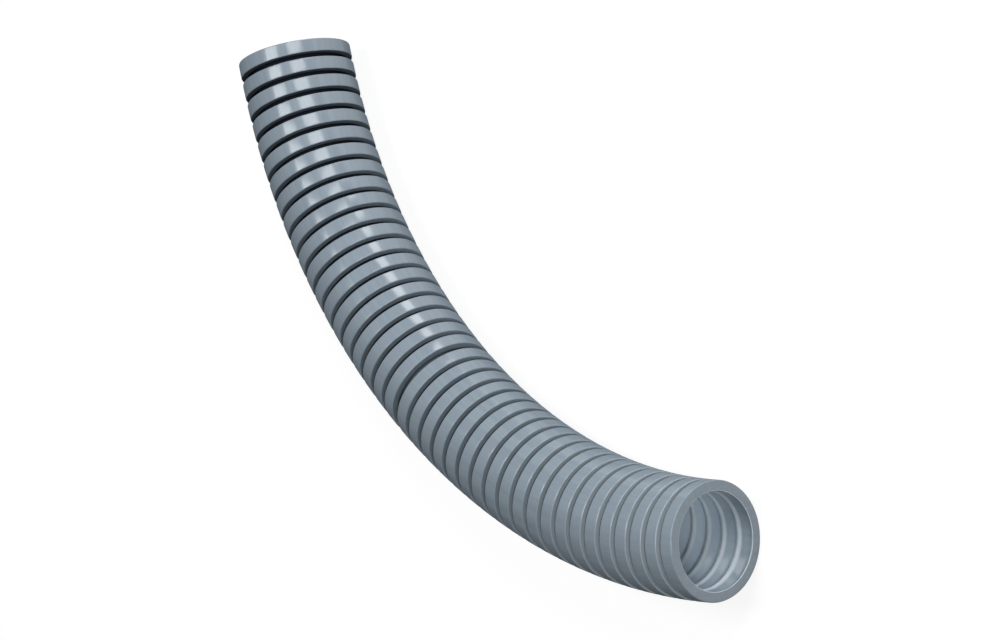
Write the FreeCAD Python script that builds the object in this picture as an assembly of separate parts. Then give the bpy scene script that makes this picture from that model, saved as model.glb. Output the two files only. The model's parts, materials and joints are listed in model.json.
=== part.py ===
"""Corrugated plastic conduit, trade size 23, bent to a gentle arc.

One moulded tube whose wall rises and falls in parallel rings: a flat-topped rib with eased
edges, a narrow groove, and a low sloping ridge on the inside under every groove. Each
mould block forms a run of ribs, and the groove where two blocks meet is wider. In a bend
the ribs stay rigid rings and the grooves open on the outside and close on the inside.
Both ends are cut flush with the side of a rib and show a flat ring with the bore in it.

The conduit lies on its side. X runs along the chord from end to end, the bend is level
and closes towards +Y, and +Z is up.
"""
import FreeCAD, Part
import math
import os

# Tube, in millimetres
outside_diameter = 28.5
bore_diameter = 23.0
groove_wall = 0.7
rib_wall = 1.25

# Corrugation, measured along the middle of the tube
rib_width = 3.7
groove_width = 1.5
joint_groove_width = 2.15
ribs_per_block = 20
mould_blocks = 2

# Inner ridge under each groove
ridge_crown_width = 1.2
ridge_foot_width = 4.4

# Eased edges
crest_bevel = 0.3
lip_bevel = 0.15

# Bend of the tube's middle line
bend_radius = 162.0

# Worked out from the sizes above
crest_radius = outside_diameter / 2
ridge_radius = bore_diameter / 2
root_radius = ridge_radius + groove_wall
valley_radius = crest_radius - rib_wall
half_rib = rib_width / 2
half_groove = groove_width / 2
half_joint = joint_groove_width / 2
flush = 0

origin = FreeCAD.Vector(0, 0, 0)
along_tube = FreeCAD.Vector(1, 0, 0)
up = FreeCAD.Vector(0, 0, 1)
bend_centre = FreeCAD.Vector(0, bend_radius, 0)
match = 1e-6


def bend_angle(distance):
    """Angle of the bend, in radians, over a distance along the middle line."""
    return distance / bend_radius


def outer_side(groove):
    """Half of the outer outline, from the rib's middle into the groove beside it."""
    points = [
        (half_rib - crest_bevel, crest_radius),
        (half_rib, crest_radius - crest_bevel),
    ]
    if groove == flush:
        return points
    spare = 2 * groove
    return points + [(half_rib, root_radius), (half_rib + groove + spare, root_radius)]


def inner_side(groove):
    """Half of the inner outline, from the rib's middle to the ridge under the groove."""
    groove_middle = half_rib + half_groove
    foot = groove_middle - ridge_foot_width / 2
    crown = groove_middle - ridge_crown_width / 2
    points = [(foot, valley_radius)]
    if groove == flush:
        return points + [
            (half_rib - lip_bevel, ridge_radius),
            (half_rib, ridge_radius + lip_bevel),
        ]
    spare = 2 * groove
    return points + [(crown, ridge_radius), (half_rib + groove + spare, ridge_radius)]


def corrugation(groove_before, groove_after):
    """One rib turned about its own axis, with half of the groove on each side of it.

    The grooves end on planes through the centre of the bend, where the next ones meet them.
    """
    outline = [(-x, r) for x, r in reversed(outer_side(groove_before))]
    outline += outer_side(groove_after)
    outline += reversed(inner_side(groove_after))
    outline += [(-x, r) for x, r in inner_side(groove_before)]
    corners = [FreeCAD.Vector(x, r, 0) for x, r in outline + outline[:1]]
    ring = Part.Face(Part.makePolygon(corners)).revolve(origin, along_tube, 360)
    return ring.common(sector(groove_before, groove_after))


def sector(groove_before, groove_after):
    """The part of the bend between the middles of the grooves on each side of a rib."""
    reach = 2 * bend_radius
    corners = [bend_centre]
    for side, groove in ((-1, groove_before), (1, groove_after)):
        beyond = half_rib if groove == flush else groove
        angle = bend_angle(side * (half_rib + beyond))
        out = FreeCAD.Vector(math.sin(angle), -math.cos(angle), 0)
        corners.append(bend_centre + out * reach)
    face = Part.Face(Part.makePolygon(corners + corners[:1]))
    face.translate(up * -outside_diameter)
    return face.extrude(up * 2 * outside_diameter)


def skin(piece):
    """The faces of a corrugation, without those where it meets its neighbours."""
    faces = []
    for face in piece.Faces:
        if isinstance(face.Surface, Part.Plane):
            to_centre = bend_centre - face.Surface.Position
            if abs(face.Surface.Axis.dot(to_centre)) < match:
                continue
        faces.append(face)
    return faces


def grooves_beside(number, last):
    """Half widths of the grooves before and after a rib, counted from the first one."""
    before = half_joint if number % ribs_per_block == 0 else half_groove
    after = half_joint if (number + 1) % ribs_per_block == 0 else half_groove
    if number == 0:
        before = flush
    if number == last:
        after = flush
    return before, after


def conduit():
    """All the corrugations in a row round the bend, as one closed wall."""
    ribs = mould_blocks * ribs_per_block
    joints = mould_blocks - 1
    grooves = ribs - 1 - joints
    length = ribs * rib_width + grooves * groove_width + joints * joint_groove_width
    place = -length / 2
    shapes = {}
    faces = []
    for number in range(ribs):
        before, after = grooves_beside(number, ribs - 1)
        if (before, after) not in shapes:
            shapes[before, after] = skin(corrugation(before, after))
        place += before + half_rib
        for face in shapes[before, after]:
            turned = face.copy()
            turned.rotate(bend_centre, up, math.degrees(bend_angle(place)))
            faces.append(turned)
        place += half_rib + after
    walls = Part.makeShell(faces)
    walls.sewShape()
    return Part.makeSolid(walls.Shells[0])


def lay_down(shape):
    """Rest the tube on the floor with the middle of its outline over the origin."""
    box = shape.BoundBox
    shape.translate(FreeCAD.Vector(-box.Center.x, -box.Center.y, crest_radius))
    return shape


tube = lay_down(conduit())
os.makedirs("parts", exist_ok=True)
tube.exportStep("parts/conduit.step")
print("conduit", tube.ShapeType, len(tube.Solids), "valid", tube.isValid())
print("volume mm3", round(tube.Volume, 1), "faces", len(tube.Faces))
print("size", tube.BoundBox)
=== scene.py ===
"""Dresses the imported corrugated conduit: a finer tube wall, moulded plastic, camera and light."""

import bpy
import json
from math import asin, cos, pi, radians, sin
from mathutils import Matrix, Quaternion, Vector


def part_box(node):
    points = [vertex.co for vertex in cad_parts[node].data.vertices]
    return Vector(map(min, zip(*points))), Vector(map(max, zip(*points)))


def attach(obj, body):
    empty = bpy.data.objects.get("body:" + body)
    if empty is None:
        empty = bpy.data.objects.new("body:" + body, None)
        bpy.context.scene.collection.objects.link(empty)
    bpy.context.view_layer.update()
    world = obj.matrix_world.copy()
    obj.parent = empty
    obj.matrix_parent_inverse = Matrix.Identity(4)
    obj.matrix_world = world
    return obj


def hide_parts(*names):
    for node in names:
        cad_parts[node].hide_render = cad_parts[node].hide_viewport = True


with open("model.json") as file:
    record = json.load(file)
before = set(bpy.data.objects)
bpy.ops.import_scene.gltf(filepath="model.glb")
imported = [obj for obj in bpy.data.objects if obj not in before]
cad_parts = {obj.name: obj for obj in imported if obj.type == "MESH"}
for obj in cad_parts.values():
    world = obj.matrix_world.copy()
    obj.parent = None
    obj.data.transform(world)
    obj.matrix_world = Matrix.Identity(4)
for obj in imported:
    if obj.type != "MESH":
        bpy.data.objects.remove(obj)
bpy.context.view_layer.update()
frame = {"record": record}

MM = 0.001

# Tube, from the frame
mounts = {mount["name"]: mount for mount in frame["record"]["mounts"]}
low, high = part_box("conduit")
CREST_RADIUS = (high.z - low.z) / 2
AXIS_HEIGHT = (high.z + low.z) / 2
END_RIB = Vector(mounts["end_rib_right"]["pos_m"])
END_AXIS = mounts["end_rib_right"]["axis"]
BEND_RADIUS = END_RIB.x / END_AXIS[1]
MIDDLE_Y = END_RIB.y - BEND_RADIUS * (1 - cos(asin(END_AXIS[1])))

# Corrugation
RIBS_PER_BLOCK = 20
RIB_WIDTH = 3.7 * MM
GROOVE_WIDTH = 1.5 * MM
HALF_GROOVE = GROOVE_WIDTH / 2
JOINT_GROOVE_WIDTH = 2.15 * MM
JOINT_WIDENING = (JOINT_GROOVE_WIDTH - GROOVE_WIDTH) / 2
PITCH = RIB_WIDTH + GROOVE_WIDTH
HALF_LENGTH = JOINT_GROOVE_WIDTH / 2 + RIBS_PER_BLOCK * PITCH - GROOVE_WIDTH
BORE_RADIUS = 11.5 * MM
GROOVE_WALL = 0.7 * MM
ROOT_RADIUS = BORE_RADIUS + GROOVE_WALL
GROOVE_WALL_MIDDLE = ROOT_RADIUS - GROOVE_WALL / 2
RIB_WALL = 1.25 * MM
VALLEY_RADIUS = CREST_RADIUS - RIB_WALL
RIDGE_CROWN_WIDTH = 1.2 * MM
RIDGE_FOOT_WIDTH = 4.4 * MM

# Rounded edges
CREST_ROUND = 0.3 * MM
CREST_STEPS = 2
RIDGE_ROUND = 0.55 * MM
RIDGE_STEPS = 3
VALLEY_ROUND = 0.38 * MM
VALLEY_STEPS = 2
LIP_ROUND = 0.15 * MM
LIP_STEPS = 3

# Mesh
OUTSIDE_SIDES = 144
BORE_SIDES = 72
NEAR = 0.01 * MM
SHARP_ANGLE = radians(50)

# Plastic, with faint lines along the tube and soft clouds
LIGHT_LINE = (0.266, 0.329, 0.372, 1)
DARK_LINE = (0.238, 0.288, 0.342, 1)
BROAD_LINES = {"stretch": 60, "scale": 700, "detail": 1}
FINE_LINES = {"stretch": 40, "scale": 2600, "detail": 1}
FINE_SHARE = 0.4
LINE_HEIGHT = 0.004 * MM
LINE_STRENGTH = 0.5
CLOUD = (0.24, 0.28, 0.34, 1)
CLOUD_SHAPE = {"stretch": 3, "scale": 160, "detail": 2}
CLOUD_SHARE = 0.3
NOISE_LOW = 0.3
NOISE_HIGH = 0.7

# Groove walls, pale with painted light where they face the mouths and dark with painted shade where
# they face the middle
PAINTED_WALL_LIGHT = (0.42, 0.495, 0.55, 1)
PALE_START = 0.1 * HALF_LENGTH
PALE_FULL = 0.8 * HALF_LENGTH
DARK_START = 0.3 * HALF_LENGTH
DARK_SHARE = 0.75
WALL_MARGIN = 0.1 * MM

# Painted shade at the bottom of the grooves
PAINTED_SHADE = (0.012, 0.015, 0.02, 1)
PAINTED_SHADE_STRENGTH = 0.97
PAINTED_SHADE_START = ROOT_RADIUS + 0.1 * MM
PAINTED_SHADE_END = ROOT_RADIUS + 0.8 * MM
JOINT_PAINTED_SHADE = 0.75
GROOVE_MARGIN = 0.08 * MM

# Bore, pale with painted light in its depth, with painted highlights on the ridges' crowns and
# painted light on their inward slopes
DEEP_INSIDE = (0.53, 0.64, 0.73, 1)
DEEP_START = HALF_LENGTH - 20 * MM
PAINTED_RIDGE_LIGHT = (0.82, 0.9, 0.96, 1)
CROWN_LIGHT_END = BORE_RADIUS + 0.4 * MM
MOUTH_START = HALF_LENGTH - 8 * MM
MOUTH_CROWN_LIGHT = 0.5
HOLLOW_END = PITCH - RIDGE_FOOT_WIDTH / 2
HOLLOW_FADE = 0.3 * MM

# Satin sheen
SMOOTHEST = 0.14
ROUGHEST = 0.2
GROOVE_ROUGHNESS = 0.35
SHEEN = 0.5
SHEEN_FADE_START = 0.32
SHEEN_FADE_END = 0.6
INSIDE_DULLING = 0.6

# Floor and world
FLOOR_SIZE = 20
FLOOR_GREY = (0.45, 0.45, 0.45, 1)
FLOOR_ROUGHNESS = 0.9
FLOOR_SHEEN = 0.1
PAPER_WHITE = 0.87
SHADOW_GREY = (0.2, 0.2, 0.2, 1)
WORLD_WHITE = (1, 1, 1, 1)
WORLD_BRIGHTNESS = 0.03

# Camera, fitted to the edges of all the ribs
CAMERA_PLACE = Vector((0.73991, 0.59613, 0.82975))
CAMERA_AIM = Vector((0.0058, 0.01183, 0.01425))
CAMERA_ROLL = radians(91.28)
CAMERA_LENS = 185.5
CAMERA_SENSOR = 36
CAMERA_REACH = 100


def pick(piece, part, wanted):
    """Select the edges, faces or vertices of a piece whose place is wanted."""
    bpy.ops.object.mode_set(mode="EDIT")
    bpy.ops.mesh.select_all(action="DESELECT")
    bpy.ops.mesh.select_mode(type=part)
    bpy.ops.object.mode_set(mode="OBJECT")
    mesh = piece.data
    if part == "VERT":
        for vertex in mesh.vertices:
            vertex.select = wanted(vertex.co)
    if part == "EDGE":
        for edge in mesh.edges:
            edge.select = all(wanted(mesh.vertices[i].co) for i in edge.vertices)
    if part == "FACE":
        for face in mesh.polygons:
            face.select = wanted(face.center)
    bpy.ops.object.mode_set(mode="EDIT")


def from_axis(point):
    """Distance of a point from the tube's straight axis."""
    return (point.y ** 2 + point.z ** 2) ** 0.5


def apply_modifier(piece, kind, **settings):
    """Add one modifier with its settings and apply it."""
    modifier = piece.modifiers.new(kind.title(), kind)
    for name, value in settings.items():
        setattr(modifier, name, value)
    bpy.context.view_layer.objects.active = piece
    bpy.ops.object.modifier_apply(modifier=modifier.name)


def draw_skin(name, sides, outline):
    """Start from a ring of points and extrude it through an outline of (place, radius)."""
    place, radius = outline[0]
    bpy.ops.object.select_all(action="DESELECT")
    bpy.ops.mesh.primitive_circle_add(
        vertices=sides, radius=radius, location=(place, 0, 0), rotation=(0, pi / 2, 0)
    )
    piece = bpy.context.object
    piece.name = name
    bpy.ops.object.transform_apply(location=True, rotation=True, scale=True)
    bpy.ops.object.mode_set(mode="EDIT")
    bpy.ops.mesh.select_all(action="SELECT")
    for next_place, next_radius in outline[1:]:
        bpy.ops.mesh.extrude_region_move(
            TRANSFORM_OT_translate={"value": (next_place - place, 0, 0)}
        )
        grow = next_radius / radius
        bpy.ops.transform.resize(value=(1, grow, grow), center_override=(next_place, 0, 0))
        place, radius = next_place, next_radius
    bpy.ops.object.mode_set(mode="OBJECT")
    return piece


def round_ring(piece, place, radius, width, steps):
    """Round the ring edge at one place and radius, without the edges along the tube."""
    def at_ring(point):
        return abs(point.x - place) < NEAR and abs(from_axis(point) - radius) < NEAR
    pick(piece, "EDGE", at_ring)
    bpy.ops.mesh.bevel(offset=width, offset_type="OFFSET", segments=steps, profile=0.5)
    bpy.ops.object.mode_set(mode="OBJECT")


def outer_wave():
    """Outside of one rib with half a groove on each side."""
    start, end = HALF_GROOVE, HALF_GROOVE + RIB_WIDTH
    piece = draw_skin("conduit_wall", OUTSIDE_SIDES, [
        (0, ROOT_RADIUS), (start, ROOT_RADIUS), (start, CREST_RADIUS),
        (end, CREST_RADIUS), (end, ROOT_RADIUS), (PITCH, ROOT_RADIUS),
    ])
    for place in (start, end):
        round_ring(piece, place, CREST_RADIUS, CREST_ROUND, CREST_STEPS)
    return piece


def inner_wave():
    """Inside of one rib: a rounded valley between two half ridges."""
    crown = RIDGE_CROWN_WIDTH / 2
    foot = RIDGE_FOOT_WIDTH / 2
    piece = draw_skin("conduit_bore", BORE_SIDES, [
        (0, BORE_RADIUS), (crown, BORE_RADIUS), (foot, VALLEY_RADIUS),
        (PITCH - foot, VALLEY_RADIUS), (PITCH - crown, BORE_RADIUS), (PITCH, BORE_RADIUS),
    ])
    for place in (crown, PITCH - crown):
        round_ring(piece, place, BORE_RADIUS, RIDGE_ROUND, RIDGE_STEPS)
    for place in (foot, PITCH - foot):
        round_ring(piece, place, VALLEY_RADIUS, VALLEY_ROUND, VALLEY_STEPS)
    return piece


def repeat_block(piece):
    """Copy a wave along one mould block and widen its first groove to half of the joint."""
    apply_modifier(
        piece, "ARRAY", count=RIBS_PER_BLOCK, use_relative_offset=False,
        use_constant_offset=True, constant_offset_displace=(PITCH, 0, 0),
        use_merge_vertices=True, merge_threshold=NEAR,
    )
    pick(piece, "VERT", lambda point: point.x > NEAR)
    bpy.ops.transform.translate(value=(JOINT_WIDENING, 0, 0))
    bpy.ops.object.mode_set(mode="OBJECT")


def cut_flush(piece):
    """Cut the last half groove away, so that the tube ends at the side of its last rib."""
    pick(piece, "VERT", lambda point: True)
    bpy.ops.mesh.bisect(
        plane_co=(HALF_LENGTH, 0, 0), plane_no=(1, 0, 0), clear_outer=True, threshold=NEAR
    )
    pick(piece, "FACE", lambda point: point.x > HALF_LENGTH - NEAR)
    bpy.ops.mesh.delete(type="FACE")
    bpy.ops.object.mode_set(mode="OBJECT")


def close_end(piece):
    """Join the outside and the bore by the flat ring of the end, and round its lip."""
    pick(piece, "EDGE", lambda point: point.x > HALF_LENGTH - NEAR)
    bpy.ops.mesh.bridge_edge_loops()
    lip = min(
        from_axis(vertex.co) for vertex in piece.data.vertices
        if vertex.co.x > HALF_LENGTH - NEAR
    )
    bpy.ops.object.mode_set(mode="OBJECT")
    round_ring(piece, HALF_LENGTH, lip, LIP_ROUND, LIP_STEPS)


def make_conduit():
    """The whole tube wall, made straight from one wave of each skin."""
    outside, bore = outer_wave(), inner_wave()
    for skin in (outside, bore):
        repeat_block(skin)
        cut_flush(skin)
    bpy.ops.object.select_all(action="DESELECT")
    for skin in (bore, outside):
        skin.select_set(True)
    bpy.context.view_layer.objects.active = outside
    bpy.ops.object.join()
    close_end(outside)
    apply_modifier(outside, "MIRROR", use_axis=(True, False, False), merge_threshold=NEAR)
    return outside


def bend_tube(piece):
    """Bend the straight tube round the same centre as the frame's."""
    apply_modifier(
        piece, "SIMPLE_DEFORM", deform_method="BEND", deform_axis="Z",
        angle=2 * HALF_LENGTH / BEND_RADIUS,
    )
    piece.location = (0, MIDDLE_Y, AXIS_HEIGHT)
    bpy.ops.object.select_all(action="DESELECT")
    piece.select_set(True)
    bpy.ops.object.transform_apply(location=True, rotation=True, scale=True)


def smooth_tube(piece):
    """Point all faces outwards, and shade the rounded edges smooth and the flats flat."""
    bpy.context.view_layer.objects.active = piece
    bpy.ops.object.mode_set(mode="EDIT")
    bpy.ops.mesh.select_all(action="SELECT")
    bpy.ops.mesh.remove_doubles(threshold=NEAR)
    bpy.ops.mesh.normals_make_consistent(inside=False)
    bpy.ops.object.mode_set(mode="OBJECT")
    bpy.ops.object.shade_smooth_by_angle(angle=SHARP_ANGLE)
    apply_modifier(piece, "WEIGHTED_NORMAL", weight=50, keep_sharp=True)


def add_math(tree, operation, first, second=0.0, third=0.0):
    """A math node whose inputs are numbers or other nodes' outputs."""
    node = tree.nodes.new("ShaderNodeMath")
    node.operation = operation
    for socket, source in zip(node.inputs, (first, second, third)):
        if isinstance(source, (int, float)):
            socket.default_value = source
        else:
            tree.links.new(source, socket)
    return node.outputs["Value"]


def add_product(tree, product, *factors):
    """Product of two or more outputs."""
    for factor in factors:
        product = add_math(tree, "MULTIPLY", product, factor)
    return product


def add_ramp(tree, source, low, high, from_value, to_value):
    """Value that goes smoothly from one to another while the source rises from low to high."""
    node = tree.nodes.new("ShaderNodeMapRange")
    node.interpolation_type = "SMOOTHSTEP"
    tree.links.new(source, node.inputs["Value"])
    for label, value in (
        ("From Min", low), ("From Max", high), ("To Min", from_value), ("To Max", to_value)
    ):
        node.inputs[label].default_value = value
    return node.outputs["Result"]


def add_noise(tree, place, stretch, scale, detail):
    """Noise on the straightened tube, drawn out along it."""
    mapping = tree.nodes.new("ShaderNodeMapping")
    mapping.inputs["Scale"].default_value = (1 / stretch, 1, 1)
    tree.links.new(place, mapping.inputs["Vector"])
    noise = tree.nodes.new("ShaderNodeTexNoise")
    noise.inputs["Scale"].default_value = scale
    noise.inputs["Detail"].default_value = detail
    tree.links.new(mapping.outputs["Vector"], noise.inputs["Vector"])
    return noise.outputs["Fac"]


def add_mix(tree, factor, first, second):
    """A mix of two colours, each of them a fixed one or another node's output."""
    node = tree.nodes.new("ShaderNodeMix")
    node.data_type = "RGBA"
    tree.links.new(factor, node.inputs["Factor"])
    for label, source in (("A", first), ("B", second)):
        socket = [item for item in node.inputs if item.name == label and item.type == "RGBA"][0]
        if isinstance(source, tuple):
            socket.default_value = source
        else:
            tree.links.new(source, socket)
    return [item for item in node.outputs if item.type == "RGBA"][0]


def new_group(name, inputs, outputs):
    """An empty node group with named number inputs, their values, and named outputs."""
    group = bpy.data.node_groups.new(name, "ShaderNodeTree")
    for label, value in inputs.items():
        socket = group.interface.new_socket(label, in_out="INPUT", socket_type="NodeSocketFloat")
        socket.default_value = value
    for label, kind in outputs.items():
        group.interface.new_socket(label, in_out="OUTPUT", socket_type=kind)
    start = group.nodes.new("NodeGroupInput")
    end = group.nodes.new("NodeGroupOutput")
    return group, start, end


def place_group(tree, group):
    """A node group placed in a material or in another group."""
    node = tree.nodes.new("ShaderNodeGroup")
    node.node_tree = group
    return node


def straightened_tube():
    """Places on the bent tube as if it were straight, and distances along it and from its axis.

    Wave Place is 0 at the middle of a groove and grows towards the nearer end of the tube.
    Groove Distance is taken from the middle of the nearest groove.
    """
    group, _, end = new_group("straightened_tube", {}, {
        "Place": "NodeSocketVector",
        "Radius": "NodeSocketFloat",
        "Middle Distance": "NodeSocketFloat",
        "Groove Distance": "NodeSocketFloat",
        "Wave Place": "NodeSocketFloat",
        "Inside": "NodeSocketFloat",
    })
    coordinates = group.nodes.new("ShaderNodeTexCoord")
    split = group.nodes.new("ShaderNodeSeparateXYZ")
    group.links.new(coordinates.outputs["Object"], split.inputs["Vector"])
    to_centre = add_math(group, "SUBTRACT", MIDDLE_Y + BEND_RADIUS, split.outputs["Y"])
    angle = add_math(group, "ARCTAN2", split.outputs["X"], to_centre)
    along = add_math(group, "MULTIPLY", angle, BEND_RADIUS)
    x_squared = add_math(group, "POWER", split.outputs["X"], 2.0)
    squares = add_math(group, "MULTIPLY_ADD", to_centre, to_centre, x_squared)
    sideways = add_math(group, "SUBTRACT", BEND_RADIUS, add_math(group, "SQRT", squares))
    rise = add_math(group, "SUBTRACT", split.outputs["Z"], AXIS_HEIGHT)
    rise_squared = add_math(group, "POWER", rise, 2.0)
    around_squared = add_math(group, "MULTIPLY_ADD", sideways, sideways, rise_squared)
    radius = add_math(group, "SQRT", around_squared)
    place = group.nodes.new("ShaderNodeCombineXYZ")
    for socket, source in zip(place.inputs, (along, sideways, rise)):
        group.links.new(source, socket)

    from_middle = add_math(group, "ABSOLUTE", along)
    past_joint = add_math(group, "SUBTRACT", from_middle, JOINT_WIDENING)
    wave_place = add_math(group, "FLOORED_MODULO", past_joint, PITCH)
    to_groove = add_math(group, "PINGPONG", past_joint, PITCH / 2)
    past_groove = add_math(group, "SUBTRACT", to_groove, HALF_GROOVE)
    under_rib = add_math(group, "MAXIMUM", past_groove, 0.0)
    wall_middle = add_math(group, "ADD", under_rib, GROOVE_WALL_MIDDLE)
    inside = add_math(group, "LESS_THAN", radius, wall_middle)
    at_end = add_math(group, "GREATER_THAN", from_middle, HALF_LENGTH - GROOVE_MARGIN)
    groove_distance = add_math(group, "MULTIPLY_ADD", at_end, PITCH, to_groove)
    for label, source in (
        ("Place", place.outputs["Vector"]), ("Radius", radius),
        ("Middle Distance", from_middle), ("Groove Distance", groove_distance),
        ("Wave Place", wave_place), ("Inside", inside),
    ):
        group.links.new(source, end.inputs[label])
    return group


def drawn_streaks(tube_group):
    """Faint lines along the tube, broad and fine, from 0 to 1."""
    group, start, end = new_group(
        "drawn_streaks", {"Fine Share": FINE_SHARE}, {"Height": "NodeSocketFloat"}
    )
    tube = place_group(group, tube_group)
    broad = add_noise(group, tube.outputs["Place"], **BROAD_LINES)
    fine = add_noise(group, tube.outputs["Place"], **FINE_LINES)
    mixed = add_math(group, "SUBTRACT", fine, broad)
    height = add_math(group, "MULTIPLY_ADD", mixed, start.outputs["Fine Share"], broad)
    group.links.new(height, end.inputs["Height"])
    return group


def groove_shade(tube_group):
    """Painted shade at the bottom of the grooves, less in the wide one at the joint, from 0 to 1.
    """
    group, start, end = new_group(
        "groove_shade", {"Strength": PAINTED_SHADE_STRENGTH}, {"Mask": "NodeSocketFloat"}
    )
    tube = place_group(group, tube_group)
    deep = add_ramp(group, tube.outputs["Radius"], PAINTED_SHADE_START, PAINTED_SHADE_END, 1, 0)
    outside = add_math(group, "GREATER_THAN", tube.outputs["Radius"], GROOVE_WALL_MIDDLE)
    in_groove = add_math(
        group, "LESS_THAN", tube.outputs["Groove Distance"], HALF_GROOVE + GROOVE_MARGIN
    )
    joint_share = add_ramp(
        group, tube.outputs["Middle Distance"],
        JOINT_GROOVE_WIDTH / 2, JOINT_GROOVE_WIDTH, JOINT_PAINTED_SHADE, 1,
    )
    mask = add_product(group, deep, outside, in_groove, joint_share, start.outputs["Strength"])
    group.links.new(mask, end.inputs["Mask"])
    return group


def painted_wall_light_and_shade(tube_group):
    """Groove walls that grow pale with painted light towards the ends where they face the mouths,
    or else dark with painted shade.
    """
    group, _, end = new_group(
        "painted_wall_light_and_shade", {}, {"Pale": "NodeSocketFloat", "Dark": "NodeSocketFloat"}
    )
    tube = place_group(group, tube_group)
    wall = add_math(
        group, "LESS_THAN", tube.outputs["Groove Distance"], HALF_GROOVE + WALL_MARGIN
    )
    to_mouth = add_math(group, "GREATER_THAN", tube.outputs["Wave Place"], PITCH / 2)
    to_middle = add_math(group, "SUBTRACT", 1.0, to_mouth)
    from_middle = tube.outputs["Middle Distance"]
    pale = add_ramp(group, from_middle, PALE_START, PALE_FULL, 0, 1)
    dark = add_ramp(group, from_middle, DARK_START, HALF_LENGTH, 0, DARK_SHARE)
    group.links.new(add_product(group, wall, to_mouth, pale), end.inputs["Pale"])
    group.links.new(add_product(group, wall, to_middle, dark), end.inputs["Dark"])
    return group


def clouded_plastic(tree, tube, streaks):
    """Blue-grey with faint lines along the tube and soft clouds over them."""
    line = add_ramp(tree, streaks.outputs["Height"], NOISE_LOW, NOISE_HIGH, 0, 1)
    drawn = add_mix(tree, line, DARK_LINE, LIGHT_LINE)
    noise = add_noise(tree, tube.outputs["Place"], **CLOUD_SHAPE)
    cloud = add_ramp(tree, noise, NOISE_LOW, NOISE_HIGH, 0, CLOUD_SHARE)
    return add_mix(tree, cloud, drawn, CLOUD)


def outside_colour(tree, walls, plain):
    """The outside, with painted light making some groove walls paler and painted shade making
    others darker than the plain plastic.
    """
    pale = add_mix(tree, walls.outputs["Pale"], plain, PAINTED_WALL_LIGHT)
    return add_mix(tree, walls.outputs["Dark"], pale, PAINTED_SHADE)


def bore_colour(tree, tube, plain):
    """The inside, with painted light making it paler with depth, painted highlights on its ridges'
    crowns and painted light on their inward slopes.
    """
    from_middle = tube.outputs["Middle Distance"]
    ridge = add_ramp(tree, tube.outputs["Radius"], BORE_RADIUS, CROWN_LIGHT_END, 1, 0)
    faded = add_ramp(tree, from_middle, MOUTH_START, HALF_LENGTH, 1, MOUTH_CROWN_LIGHT)
    crown = add_product(tree, ridge, faded)
    slope = add_ramp(
        tree, tube.outputs["Wave Place"], HOLLOW_END - HOLLOW_FADE, HOLLOW_END, 0, 1
    )
    depth = add_ramp(tree, from_middle, DEEP_START, HALF_LENGTH, 1, 0)
    hollow = add_mix(tree, depth, plain, DEEP_INSIDE)
    # Painted highlights on the crowns and painted light on the inward slopes, over the painted
    # light of the depth
    return add_mix(tree, add_math(tree, "MAXIMUM", crown, slope), hollow, PAINTED_RIDGE_LIGHT)


def sheen_level(tree, tube, painted_shade):
    """Strength of the sheen, which fades at glancing angles, inside and under the painted groove
    shade.
    """
    layer = tree.nodes.new("ShaderNodeLayerWeight")
    facing = add_ramp(
        tree, layer.outputs["Facing"], SHEEN_FADE_START, SHEEN_FADE_END, SHEEN, 0
    )
    unshaded = add_math(tree, "SUBTRACT", 1.0, painted_shade.outputs["Mask"])
    dull = add_math(tree, "MULTIPLY_ADD", tube.outputs["Inside"], -INSIDE_DULLING, 1.0)
    return add_product(tree, facing, unshaded, dull)


def line_relief(tree, streaks):
    """Normal of the faint lines, which stand up very slightly."""
    bump = tree.nodes.new("ShaderNodeBump")
    bump.inputs["Strength"].default_value = LINE_STRENGTH
    bump.inputs["Distance"].default_value = LINE_HEIGHT
    tree.links.new(streaks.outputs["Height"], bump.inputs["Height"])
    return bump.outputs["Normal"]


def plastic():
    """Blue-grey moulded plastic with a satin sheen, painted shade in its grooves, painted light and
    shade on the groove walls and painted light and highlights in the bore.
    """
    material = bpy.data.materials.new("conduit_plastic")
    material.use_nodes = True
    tree = material.node_tree
    shader = tree.nodes["Principled BSDF"]
    tube_group = straightened_tube()
    tube = place_group(tree, tube_group)
    streaks = place_group(tree, drawn_streaks(tube_group))
    painted_shade = place_group(tree, groove_shade(tube_group))
    walls = place_group(tree, painted_wall_light_and_shade(tube_group))

    plain = clouded_plastic(tree, tube, streaks)
    outside = outside_colour(tree, walls, plain)
    bore = bore_colour(tree, tube, plain)
    unshaded = add_mix(tree, tube.outputs["Inside"], outside, bore)
    # Painted shade at the bottom of the grooves, over the plastic's own colour
    colour = add_mix(tree, painted_shade.outputs["Mask"], unshaded, PAINTED_SHADE)
    satin = add_ramp(
        tree, streaks.outputs["Height"], NOISE_LOW, NOISE_HIGH, SMOOTHEST, ROUGHEST
    )
    rough = add_math(tree, "MULTIPLY_ADD", painted_shade.outputs["Mask"], GROOVE_ROUGHNESS, satin)
    tree.links.new(colour, shader.inputs["Base Color"])
    tree.links.new(rough, shader.inputs["Roughness"])
    tree.links.new(sheen_level(tree, tube, painted_shade), shader.inputs["Specular IOR Level"])
    tree.links.new(line_relief(tree, streaks), shader.inputs["Normal"])
    return material


def seen_directly(tree):
    """1 for rays from the camera, also by way of a reflection or through glass."""
    path = tree.nodes.new("ShaderNodeLightPath")
    camera_or_mirror = add_math(
        tree, "MAXIMUM", path.outputs["Is Camera Ray"], path.outputs["Is Glossy Ray"]
    )
    return add_math(tree, "MAXIMUM", camera_or_mirror, path.outputs["Is Transmission Ray"])


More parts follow.
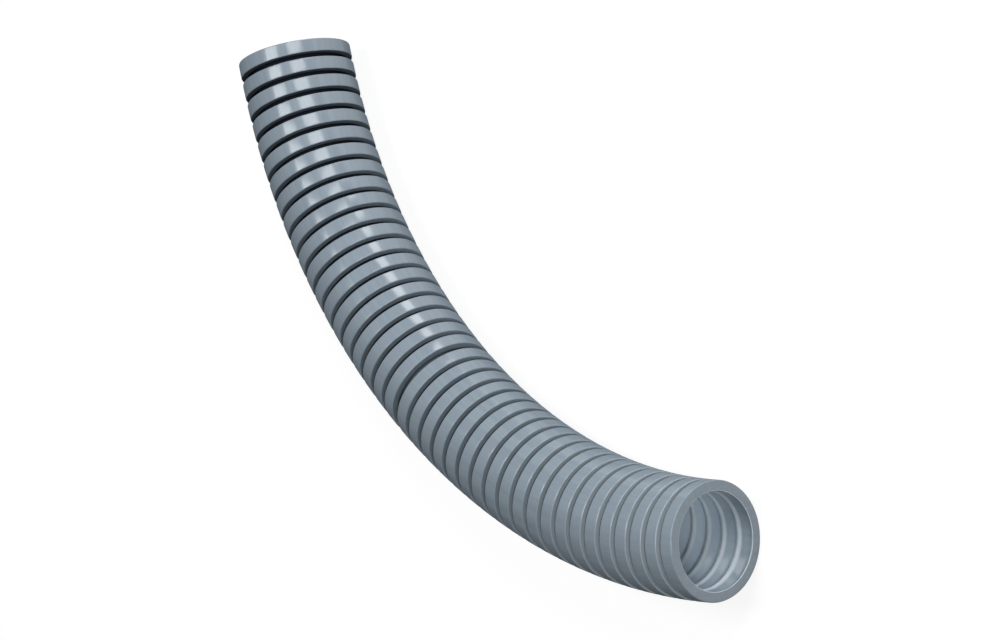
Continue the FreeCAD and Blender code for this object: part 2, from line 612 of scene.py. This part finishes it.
def floor_material():
    """White floor that the camera sees as paper white, with the tube's soft shadow."""
    material = bpy.data.materials.new("white_floor")
    material.use_nodes = True
    tree = material.node_tree
    lit = tree.nodes["Principled BSDF"]
    lit.inputs["Base Color"].default_value = FLOOR_GREY
    lit.inputs["Roughness"].default_value = FLOOR_ROUGHNESS
    lit.inputs["Specular IOR Level"].default_value = FLOOR_SHEEN
    white = tree.nodes.new("ShaderNodeEmission")
    white.inputs["Strength"].default_value = PAPER_WHITE
    shadow = tree.nodes.new("ShaderNodeBsdfDiffuse")
    shadow.inputs["Color"].default_value = SHADOW_GREY
    paper = tree.nodes.new("ShaderNodeAddShader")
    tree.links.new(white.outputs["Emission"], paper.inputs[0])
    tree.links.new(shadow.outputs["BSDF"], paper.inputs[1])
    floor = tree.nodes.new("ShaderNodeMixShader")
    tree.links.new(seen_directly(tree), floor.inputs["Fac"])
    tree.links.new(lit.outputs["BSDF"], floor.inputs[1])
    tree.links.new(paper.outputs["Shader"], floor.inputs[2])
    tree.links.new(floor.outputs["Shader"], tree.nodes["Material Output"].inputs["Surface"])
    return material


def make_floor():
    """A wide level floor under the conduit."""
    bpy.ops.object.select_all(action="DESELECT")
    bpy.ops.mesh.primitive_plane_add(size=FLOOR_SIZE, location=(0, 0, 0))
    floor = bpy.context.object
    floor.name = "floor"
    floor.data.materials.append(floor_material())


def softbox(name, azimuth, elevation, width, height, brightness):
    """A rectangular light that faces the conduit from a direction, one metre away."""
    across, rise = radians(azimuth), radians(elevation)
    place = Vector((cos(rise) * sin(across), cos(rise) * cos(across), sin(rise)))
    bpy.ops.object.light_add(type="AREA", location=place)
    light = bpy.context.object
    light.name = name
    light.data.shape = "RECTANGLE"
    light.data.size, light.data.size_y = width, height
    light.data.energy = brightness * pi * width * height
    light.rotation_mode = "QUATERNION"
    light.rotation_quaternion = place.to_track_quat("Z", "Y")
    light.visible_camera = False


def make_lights():
    """A faint white world and four soft lights."""
    world = bpy.data.worlds.new("studio")
    world.use_nodes = True
    background = world.node_tree.nodes["Background"]
    background.inputs["Color"].default_value = WORLD_WHITE
    background.inputs["Strength"].default_value = WORLD_BRIGHTNESS
    bpy.context.scene.world = world
    softbox("overhead_light", azimuth=310, elevation=76, width=0.44, height=0.4, brightness=7.8)
    softbox("side_light", azimuth=337, elevation=8, width=0.44, height=0.26, brightness=7.5)
    softbox("key_light", azimuth=2, elevation=36, width=0.45, height=0.45, brightness=6.6)
    softbox("front_light", azimuth=60, elevation=38, width=0.2, height=0.2, brightness=20)


def make_camera():
    """The camera, turned about its own line of sight."""
    bpy.ops.object.camera_add(location=CAMERA_PLACE)
    camera = bpy.context.object
    camera.data.lens = CAMERA_LENS
    camera.data.sensor_width = CAMERA_SENSOR
    camera.data.clip_end = CAMERA_REACH
    view = CAMERA_AIM - CAMERA_PLACE
    turn = view.to_track_quat("-Z", "Y")
    camera.rotation_mode = "QUATERNION"
    camera.rotation_quaternion = turn @ Quaternion((0, 0, 1), -CAMERA_ROLL)
    bpy.context.scene.camera = camera


conduit = make_conduit()
bend_tube(conduit)
smooth_tube(conduit)
conduit.data.materials.append(plastic())
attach(conduit, "root")
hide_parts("conduit")

make_floor()
make_lights()
make_camera()
bpy.context.scene.view_settings.view_transform = "Standard"
